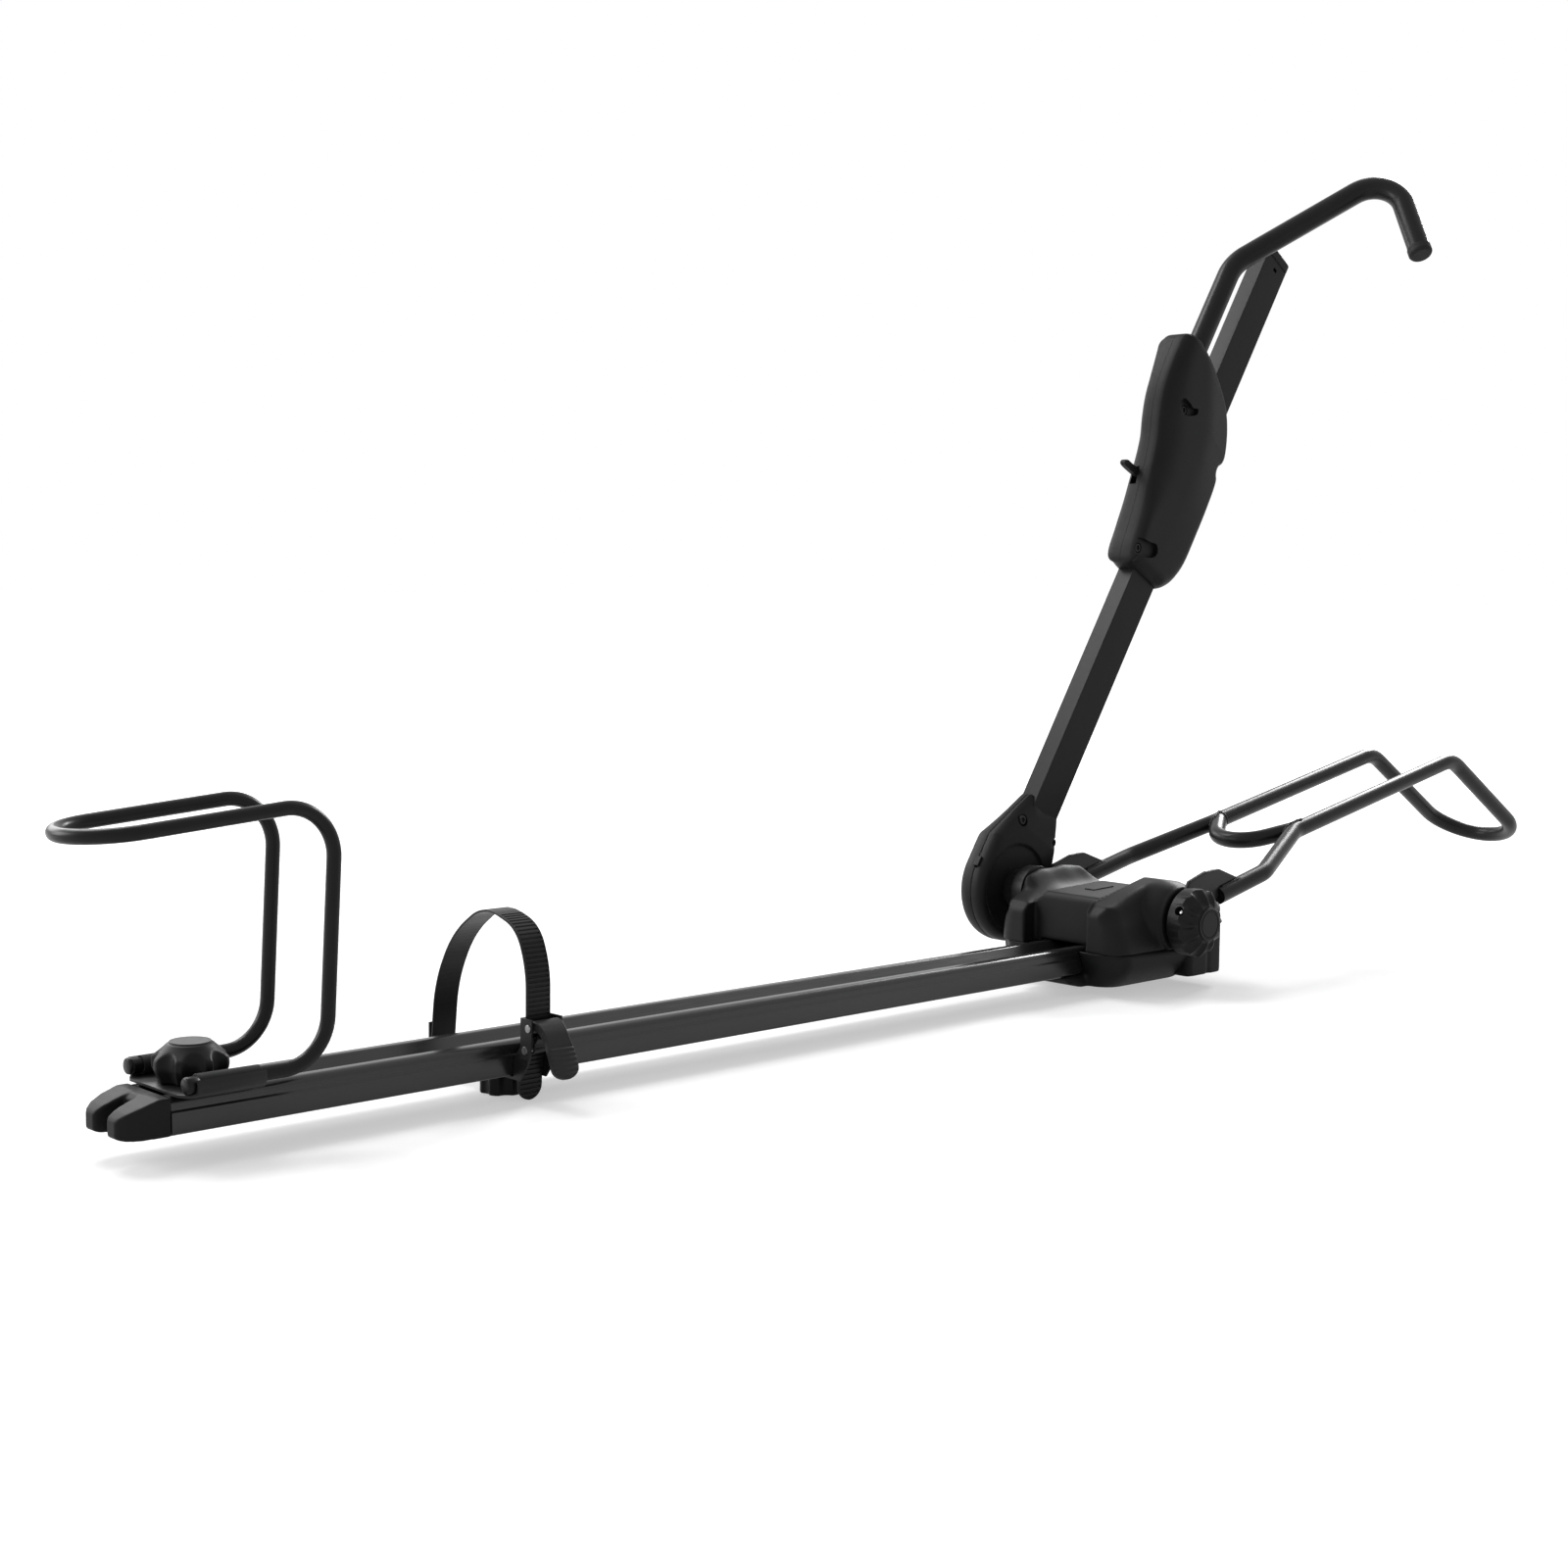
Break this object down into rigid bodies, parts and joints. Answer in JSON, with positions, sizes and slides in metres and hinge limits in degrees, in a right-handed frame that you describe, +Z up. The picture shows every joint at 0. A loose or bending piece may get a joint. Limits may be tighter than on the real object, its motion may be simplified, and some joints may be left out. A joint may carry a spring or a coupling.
{
  "type": "folding bike carrier",
  "caption": "Roof bike carrier: wheel rail with rear hoop and strap, tilting front wheel cradle, and a folding mast with a sliding, bent wheel hook.",
  "frame": {"origin": "middle of the four fastening holes, on the flat underside of the base", "axes": "+X along the rail towards the front wheel cradle, +Y towards the mast's side, +Z up"},
  "size_m": [1.8097, 0.2422, 0.8305],
  "materials": {
    "rail_aluminium": "extruded, satin black coating",
    "black_tube": "satin black powder coat on steel tube",
    "black_steel": "black coated pressed steel",
    "black_moulding": "fine-textured moulded black",
    "knob_plastic": "matte black, moulded grips",
    "insert_plastic": "smooth dark grey insert",
    "strap_plastic": "ribbed flexible band",
    "soft_rubber": "matte rubber",
    "zinc_steel": "zinc-plated fasteners",
    "friction_disc": "pressed friction lining"
  },
  "bodies": {
    "base": {"rail": "rail_aluminium", "base_frame": "black_steel", "hinge_neck": "black_steel", "rail_end_cap": "black_moulding", "base_lower_shell": "black_moulding", "base_cover": "black_moulding", "cover_plate": "black_moulding", "front_foot": "black_moulding", "rail_bolts": "zinc_steel", "foot_screws": "zinc_steel", "pivot_bolt": "zinc_steel", "hinge_axle": "zinc_steel", "brake_disc": "friction_disc"},
    "hoop": {"rear_hoop": "black_tube", "hoop_sleeves": "soft_rubber", "hoop_bracket": "black_steel", "hoop_slot_nut": "zinc_steel", "hoop_stud": "zinc_steel"},
    "hoop_clamp_knob": {"hoop_knob": "knob_plastic", "hoop_knob_disc": "insert_plastic"},
    "strap": {"wheel_strap": "strap_plastic", "strap_bracket": "black_steel", "strap_slot_nut": "zinc_steel", "strap_stud": "zinc_steel", "buckle_frame": "black_steel", "buckle_rivets": "zinc_steel"},
    "strap_clamp_knob": {"strap_knob": "knob_plastic"},
    "ratchet_lever": {"buckle_lever": "black_steel"},
    "ratchet_pawl": {"buckle_pawl": "black_steel"},
    "cradle": {"cradle_frame": "black_tube", "cradle_cross_tube": "black_tube", "cradle_plate_near": "black_steel", "cradle_plate_far": "black_steel"},
    "cradle_clamp_knob": {"cradle_knob": "knob_plastic", "knob_hub_cap": "insert_plastic", "knob_lock_plug": "zinc_steel"},
    "mast": {"mast_tube": "black_tube", "mast_top_cap": "black_moulding", "hinge_housing_near": "black_moulding", "hinge_housing_far": "black_moulding", "housing_screws": "zinc_steel"},
    "fold_release": {"fold_button": "knob_plastic", "fold_pawl": "black_steel"},
    "slider": {"slider_shell_near": "black_moulding", "slider_shell_far": "black_moulding", "slider_guides": "black_moulding", "slider_screws": "zinc_steel", "lever_pin": "zinc_steel", "lever_spring": "zinc_steel", "hook_saddle": "black_moulding", "hook_tube": "black_tube", "hook_tip_plug": "soft_rubber"},
    "slider_release": {"release_lever": "black_steel"}
  },
  "joints": [
    {"name": "hoop_slide", "type": "slide", "parent": "base", "child": "hoop", "axis": [1, 0, 0], "range_m": [-0.005, 0.08]},
    {"name": "hoop_knob_turn", "type": "hinge", "parent": "hoop", "child": "hoop_clamp_knob", "pos_m": [-0.962, 0, 0.05], "axis": [0, 0, 1], "continuous": true},
    {"name": "strap_slide", "type": "slide", "parent": "base", "child": "strap", "axis": [1, 0, 0], "range_m": [-0.055, 0.3]},
    {"name": "strap_knob_turn", "type": "hinge", "parent": "strap", "child": "strap_clamp_knob", "pos_m": [-0.702, 0, 0], "axis": [0, 0, 1], "continuous": true},
    {"name": "ratchet_lever_swing", "type": "hinge", "parent": "strap", "child": "ratchet_lever", "pos_m": [-0.702, -0.0507, 0.05], "axis": [-1, 0, 0], "range_deg": [0, 75]},
    {"name": "ratchet_pawl_swing", "type": "hinge", "parent": "strap", "child": "ratchet_pawl", "pos_m": [-0.702, -0.0466, 0.033], "axis": [1, 0, 0], "range_deg": [0, 12], "stiffness_Nm_per_rad": 0.05, "springref_deg": -5.73},
    {"name": "cradle_tilt", "type": "hinge", "parent": "base", "child": "cradle", "pos_m": [0.038, 0, 0.0605], "axis": [0, -1, 0], "range_deg": [-4, 38]},
    {"name": "cradle_knob_turn", "type": "hinge", "parent": "base", "child": "cradle_clamp_knob", "pos_m": [0.038, -0.095, 0.0605], "axis": [0, -1, 0], "continuous": true},
    {"name": "mast_fold", "type": "hinge", "parent": "base", "child": "mast", "pos_m": [-0.0024, 0.107, 0.0766], "axis": [0, -1, 0], "range_deg": [0, 117]},
    {"name": "fold_button_press", "type": "slide", "parent": "mast", "child": "fold_release", "axis": [0.8415, 0, -0.5402], "range_m": [0, 0.0025], "stiffness_N_per_m": 1500, "springref_m": -0.001},
    {"name": "hook_slide", "type": "slide", "parent": "mast", "child": "slider", "axis": [0.5402, 0, 0.8415], "range_m": [-0.15, 0.11]},
    {"name": "slider_lever_pull", "type": "hinge", "parent": "slider", "child": "slider_release", "pos_m": [0.22122, 0.107, 0.49156], "axis": [0, -1, 0], "range_deg": [0, 15], "stiffness_Nm_per_rad": 0.4, "springref_deg": -11.46}
  ]
}
